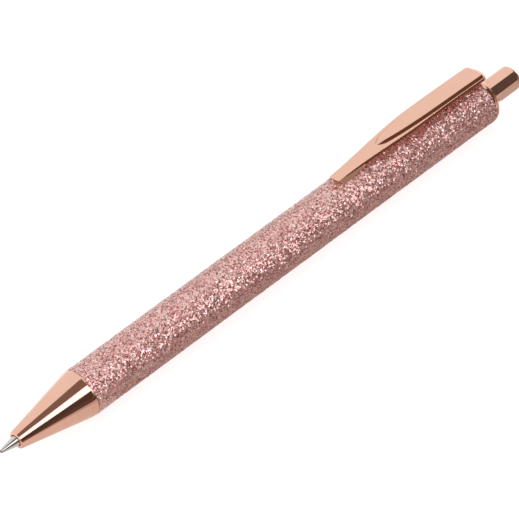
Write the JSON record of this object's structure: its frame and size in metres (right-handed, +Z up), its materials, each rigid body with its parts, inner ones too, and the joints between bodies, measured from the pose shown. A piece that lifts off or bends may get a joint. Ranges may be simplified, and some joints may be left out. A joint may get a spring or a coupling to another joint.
{
  "type": "gel pen",
  "caption": "Click-action gel pen with a pink glitter barrel, mirror rose-gold nose, arched pocket clip and push button; point shown out, with its refill, spring and cam inside.",
  "frame": {"origin": "middle of the pen's length and width, on the surface that the barrel lies on", "axes": "+X along the pen from the point to the button, +Z up to the clip, +Y across"},
  "size_m": [0.1402, 0.0104, 0.0128],
  "materials": {
    "rose_gold_plate": "rose-gold mirror plating",
    "glitter_film": "pink glitter film",
    "brass": "drawn brass",
    "acetal_white": "moulded",
    "acetal_blue": "moulded",
    "spring_steel": "bright wire",
    "nickel_silver": "turned",
    "carbide": "ground ball",
    "clear_tube": "translucent tube",
    "gel": "gel ink",
    "grease": "clear follower"
  },
  "bodies": {
    "barrel": {"front_bush": "brass", "barrel_tube": "brass", "glitter_wrap": "glitter_film", "end_cap": "rose_gold_plate", "cam_housing": "acetal_white", "return_spring": "spring_steel"},
    "nose": {"nose_cone": "rose_gold_plate"},
    "clip": {"clip": "rose_gold_plate"},
    "button": {"button_stem": "acetal_white", "button_cap": "rose_gold_plate"},
    "refill": {"ink_tube": "clear_tube", "refill_connector": "acetal_white", "refill_point": "nickel_silver", "point_spring": "spring_steel", "check_ball": "spring_steel", "gel_ink": "gel", "ink_follower": "grease", "end_plug": "acetal_white"},
    "rotor": {"rotor": "acetal_blue"},
    "ball": {"writing_ball": "carbide"}
  },
  "joints": [
    {"name": "button_slide", "type": "slide", "parent": "barrel", "child": "button", "axis": [1, 0, 0], "range_m": [-0.001, 0.005]},
    {"name": "refill_slide", "type": "slide", "parent": "barrel", "child": "refill", "axis": [1, 0, 0], "range_m": [-0.001, 0.005], "deforming": ["return_spring"]},
    {"name": "rotor_turn", "type": "hinge", "parent": "refill", "child": "rotor", "pos_m": [0.04295, 0, 0.0052], "axis": [1, 0, 0], "range_deg": [-9.01, 45.01]},
    {"name": "clip_flex", "type": "hinge", "parent": "barrel", "child": "clip", "pos_m": [0.06057, 0, 0.0097], "axis": [0, 1, 0], "range_deg": [0, 4], "stiffness_Nm_per_rad": 0.5},
    {"name": "nose_off", "type": "slide", "parent": "barrel", "child": "nose", "axis": [-1, 0, 0], "range_m": [0, 0.03]},
    {"name": "ball_roll", "type": "hinge", "parent": "refill", "child": "ball", "pos_m": [-0.0697, 0, 0.0052], "axis": [0, 1, 0], "continuous": true}
  ],
  "couplings": [
    {"joint": "refill_slide", "follows": "button_slide", "ratio": 1},
    {"joint": "rotor_turn", "follows": "button_slide", "rad_per_m": 157.08}
  ]
}
